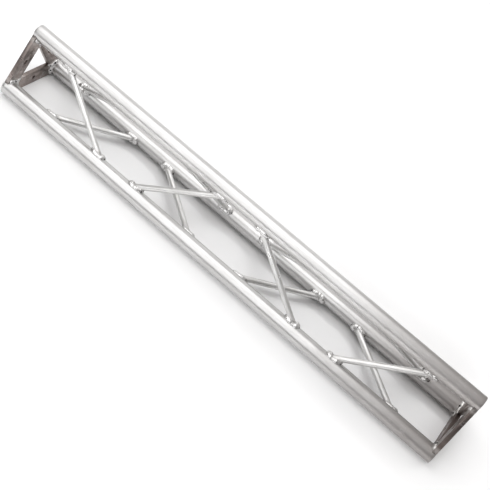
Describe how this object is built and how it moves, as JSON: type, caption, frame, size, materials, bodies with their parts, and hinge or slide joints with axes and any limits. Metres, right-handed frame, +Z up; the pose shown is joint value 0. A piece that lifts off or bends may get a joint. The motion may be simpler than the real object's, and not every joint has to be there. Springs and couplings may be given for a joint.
{
  "type": "triangular lighting truss section",
  "caption": "Straight triangular aluminium truss section with tubular chords, round zigzag braces in every face and a bolting frame of flat bars at each end.",
  "frame": {"origin": "under the middle of the section, on the plane that the two lower chords rest on", "axes": "+X along the section, +Z up through the top chord, so that +Y runs from the front chord to the rear chord"},
  "size_m": [1.5, 0.223, 0.1992],
  "materials": {
    "chord_tube": "satin drawn tube",
    "brace_bar": "bright satin bar",
    "end_bar": "dull mill finish with smut from welding"
  },
  "bodies": {
    "root": {"top_chord": "chord_tube", "front_chord": "chord_tube", "rear_chord": "chord_tube", "front_brace_1": "brace_bar", "front_brace_2": "brace_bar", "front_brace_3": "brace_bar", "front_brace_4": "brace_bar", "rear_brace_1": "brace_bar", "rear_brace_2": "brace_bar", "rear_brace_3": "brace_bar", "rear_brace_4": "brace_bar", "base_brace_1": "brace_bar", "base_brace_2": "brace_bar", "base_brace_3": "brace_bar", "base_brace_4": "brace_bar", "left_front_bar": "end_bar", "left_rear_bar": "end_bar", "left_base_bar": "end_bar", "right_front_bar": "end_bar", "right_rear_bar": "end_bar", "right_base_bar": "end_bar"}
  },
  "joints": []
}
